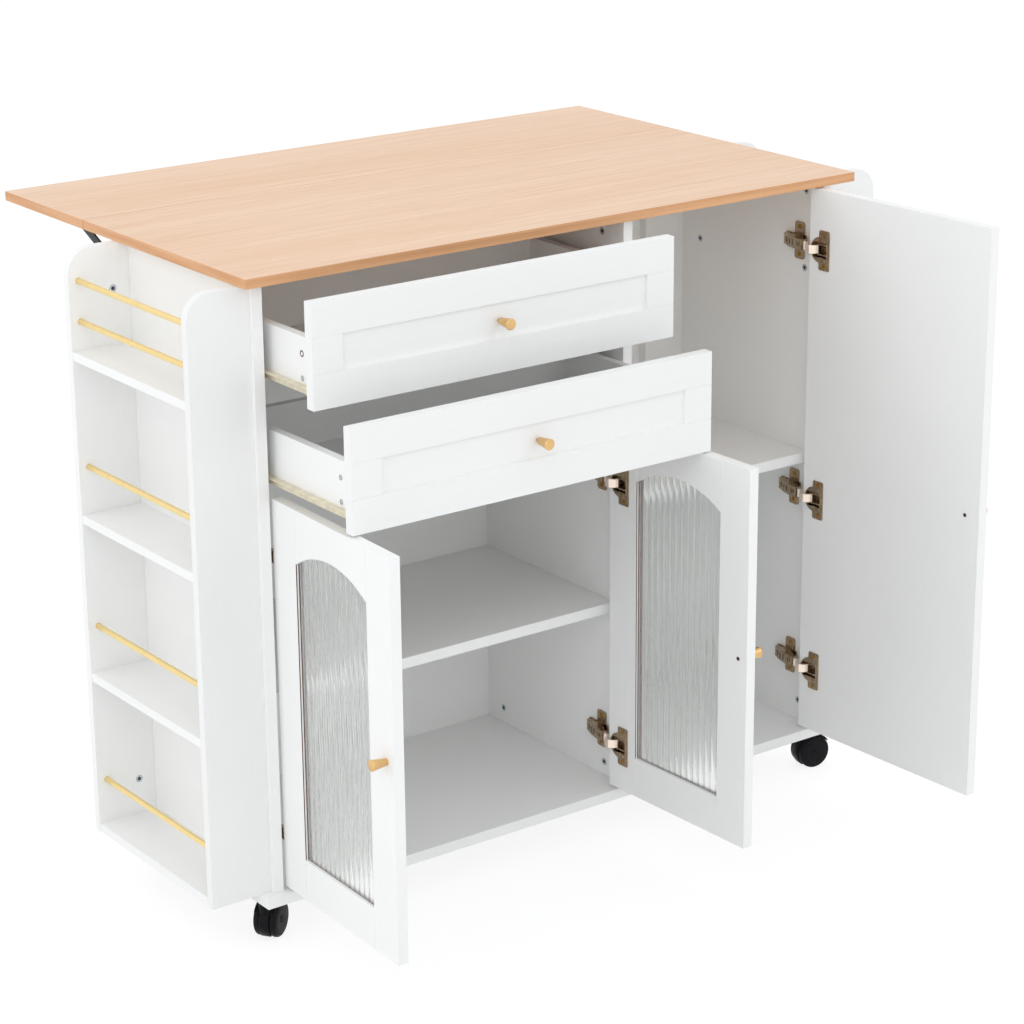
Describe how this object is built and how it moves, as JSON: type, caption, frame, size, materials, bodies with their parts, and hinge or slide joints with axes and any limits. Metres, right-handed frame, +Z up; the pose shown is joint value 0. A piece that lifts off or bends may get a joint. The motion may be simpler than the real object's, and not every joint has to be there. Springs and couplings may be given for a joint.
{
  "type": "drop leaf kitchen island",
  "caption": "White rolling kitchen island with an oak top and a raised drop leaf, pull-out drawers, ribbed glass doors, a tall door, a spice rack and a towel rail.",
  "frame": {"origin": "on the floor, at the middle of the box round the open island", "axes": "+X along the width to the viewer's right, -Y towards the viewer, out of the fronts, +Z up"},
  "size_m": [1.169, 0.9483, 0.906],
  "materials": {
    "white_board": "satin",
    "oak_board": "satin",
    "gold_metal": "polished",
    "ribbed_glass": "ribbed",
    "hinge_steel": "plated",
    "link_steel": "plated",
    "bracket_steel": "satin",
    "slide_steel": "satin",
    "roller_plastic": "satin",
    "caster_plastic": "satin",
    "wheel_plastic": "matte",
    "screw_steel": "zinc plated",
    "drawer_sheet": "matte"
  },
  "bodies": {
    "carcass": {"main_top": "oak_board", "left_side_panel": "white_board", "right_side_panel": "white_board", "divider": "white_board", "bottom_board": "white_board", "back_panel": "white_board", "back_battens": "white_board", "left_shelf": "white_board", "right_shelf": "white_board", "rack_front_panel": "white_board", "rack_back_panel": "white_board", "rack_shelves": "white_board", "rack_rods": "gold_metal", "towel_rail_boards": "white_board", "towel_rail_bar": "gold_metal", "cabinet_slides": "slide_steel", "hinge_arms": "hinge_steel", "leaf_wall_plates": "bracket_steel", "caster_plates": "screw_steel", "panel_screws": "screw_steel"},
    "drawer_1": {"drawer_1_front": "white_board", "drawer_1_box": "white_board", "drawer_1_bottom": "drawer_sheet", "drawer_1_slides": "slide_steel", "drawer_1_knob": "gold_metal"},
    "drawer_2": {"drawer_2_front": "white_board", "drawer_2_box": "white_board", "drawer_2_bottom": "drawer_sheet", "drawer_2_slides": "slide_steel", "drawer_2_knob": "gold_metal"},
    "cabinet_rollers_1": {"cabinet_rollers_1": "roller_plastic"},
    "cabinet_rollers_2": {"cabinet_rollers_2": "roller_plastic"},
    "drawer_1_rollers": {"drawer_1_rollers": "roller_plastic"},
    "drawer_2_rollers": {"drawer_2_rollers": "roller_plastic"},
    "left_door": {"left_door_frame": "white_board", "left_door_glass": "ribbed_glass", "left_door_knob": "gold_metal", "left_door_hinge_cups": "hinge_steel"},
    "right_door": {"right_door_frame": "white_board", "right_door_glass": "ribbed_glass", "right_door_knob": "gold_metal", "right_door_hinge_cups": "hinge_steel"},
    "tall_door": {"tall_door_board": "white_board", "tall_door_knob": "gold_metal", "tall_door_hinge_cups": "hinge_steel"},
    "left_door_hinge_links": {"left_door_hinge_links": "link_steel"},
    "right_door_hinge_links": {"right_door_hinge_links": "link_steel"},
    "tall_door_hinge_links": {"tall_door_hinge_links": "link_steel"},
    "leaf": {"drop_leaf": "oak_board", "leaf_arms": "bracket_steel"},
    "long_struts": {"long_struts": "bracket_steel"},
    "short_struts": {"short_struts": "bracket_steel"},
    "caster_1": {"caster_1_hood": "caster_plastic"},
    "caster_1_wheels": {"caster_1_wheels": "wheel_plastic"},
    "caster_2": {"caster_2_hood": "caster_plastic"},
    "caster_2_wheels": {"caster_2_wheels": "wheel_plastic"},
    "caster_3": {"caster_3_hood": "caster_plastic"},
    "caster_3_wheels": {"caster_3_wheels": "wheel_plastic"},
    "caster_4": {"caster_4_hood": "caster_plastic"},
    "caster_4_wheels": {"caster_4_wheels": "wheel_plastic"}
  },
  "joints": [
    {"name": "drawer_1_slide", "type": "slide", "parent": "carcass", "child": "drawer_1", "axis": [0, -1, 0], "range_m": [-0.1078, 0.1122]},
    {"name": "drawer_2_slide", "type": "slide", "parent": "carcass", "child": "drawer_2", "axis": [0, -1, 0], "range_m": [-0.187, 0.033]},
    {"name": "cabinet_roller_1_spin", "type": "hinge", "parent": "carcass", "child": "cabinet_rollers_1", "pos_m": [-0.2, -0.1172, 0.7697], "axis": [1, 0, 0], "continuous": true},
    {"name": "cabinet_roller_2_spin", "type": "hinge", "parent": "carcass", "child": "cabinet_rollers_2", "pos_m": [-0.2, -0.1172, 0.6327], "axis": [1, 0, 0], "continuous": true},
    {"name": "drawer_1_roller_spin", "type": "hinge", "parent": "drawer_1", "child": "drawer_1_rollers", "pos_m": [-0.2, 0.03, 0.7685], "axis": [1, 0, 0], "continuous": true},
    {"name": "drawer_2_roller_spin", "type": "hinge", "parent": "drawer_2", "child": "drawer_2_rollers", "pos_m": [-0.2, -0.0492, 0.6315], "axis": [1, 0, 0], "continuous": true},
    {"name": "left_door_hinge", "type": "hinge", "parent": "carcass", "child": "left_door", "pos_m": [-0.4755, -0.1432, 0.345], "axis": [0, 0, -1], "range_deg": [-92, 13]},
    {"name": "right_door_hinge", "type": "hinge", "parent": "carcass", "child": "right_door", "pos_m": [0.0755, -0.1432, 0.345], "axis": [0, 0, 1], "range_deg": [-92.3, 12.7]},
    {"name": "tall_door_hinge", "type": "hinge", "parent": "carcass", "child": "tall_door", "pos_m": [0.4285, -0.1432, 0.487], "axis": [0, 0, 1], "range_deg": [-92.8, 12.2]},
    {"name": "left_door_link_pin", "type": "hinge", "parent": "carcass", "child": "left_door_hinge_links", "pos_m": [-0.4645, -0.1262, 0.345], "axis": [0, 0, -1], "range_deg": [-92, 13]},
    {"name": "right_door_link_pin", "type": "hinge", "parent": "carcass", "child": "right_door_hinge_links", "pos_m": [0.0645, -0.1262, 0.345], "axis": [0, 0, 1], "range_deg": [-92.3, 12.7]},
    {"name": "tall_door_link_pin", "type": "hinge", "parent": "carcass", "child": "tall_door_hinge_links", "pos_m": [0.4175, -0.1262, 0.487], "axis": [0, 0, 1], "range_deg": [-92.8, 12.2]},
    {"name": "leaf_fold", "type": "hinge", "parent": "carcass", "child": "leaf", "pos_m": [-0.0235, 0.1918, 0.88], "axis": [-1, 0, 0], "range_deg": [0, 90]},
    {"name": "long_strut_pin", "type": "hinge", "parent": "leaf", "child": "long_struts", "pos_m": [-0.0235, 0.4118, 0.88], "axis": [-1, 0, 0], "range_deg": [0, 24.5]},
    {"name": "short_strut_pin", "type": "hinge", "parent": "carcass", "child": "short_struts", "pos_m": [-0.0235, 0.1918, 0.78], "axis": [1, 0, 0], "range_deg": [0, 65.7]},
    {"name": "caster_1_swivel", "type": "hinge", "parent": "carcass", "child": "caster_1", "pos_m": [-0.4915, -0.1137, 0.056], "axis": [0, 0, 1], "continuous": true},
    {"name": "caster_1_roll", "type": "hinge", "parent": "caster_1", "child": "caster_1_wheels", "pos_m": [-0.47839, -0.10452, 0.025], "axis": [-0.5736, 0.8192, 0], "continuous": true},
    {"name": "caster_2_swivel", "type": "hinge", "parent": "carcass", "child": "caster_2", "pos_m": [0.4445, -0.1137, 0.056], "axis": [0, 0, 1], "continuous": true},
    {"name": "caster_2_roll", "type": "hinge", "parent": "caster_2", "child": "caster_2_wheels", "pos_m": [0.4603, -0.1162, 0.025], "axis": [0.1564, 0.9877, 0], "continuous": true},
    {"name": "caster_3_swivel", "type": "hinge", "parent": "carcass", "child": "caster_3", "pos_m": [-0.4915, 0.1373, 0.056], "axis": [0, 0, 1], "continuous": true},
    {"name": "caster_3_roll", "type": "hinge", "parent": "caster_3", "child": "caster_3_wheels", "pos_m": [-0.47556, 0.1387, 0.025], "axis": [-0.0872, 0.9962, 0], "continuous": true},
    {"name": "caster_4_swivel", "type": "hinge", "parent": "carcass", "child": "caster_4", "pos_m": [0.4445, 0.1373, 0.056], "axis": [0, 0, 1], "continuous": true},
    {"name": "caster_4_roll", "type": "hinge", "parent": "caster_4", "child": "caster_4_wheels", "pos_m": [0.43139, 0.12812, 0.025], "axis": [0.5736, -0.8192, 0], "continuous": true}
  ],
  "couplings": [
    {"joint": "left_door_link_pin", "follows": "left_door_hinge", "ratio": 1},
    {"joint": "right_door_link_pin", "follows": "right_door_hinge", "ratio": 1},
    {"joint": "tall_door_link_pin", "follows": "tall_door_hinge", "ratio": 1},
    {"joint": "long_strut_pin", "follows": "leaf_fold", "ratio": 0.2716},
    {"joint": "short_strut_pin", "follows": "leaf_fold", "ratio": 0.7284}
  ]
}
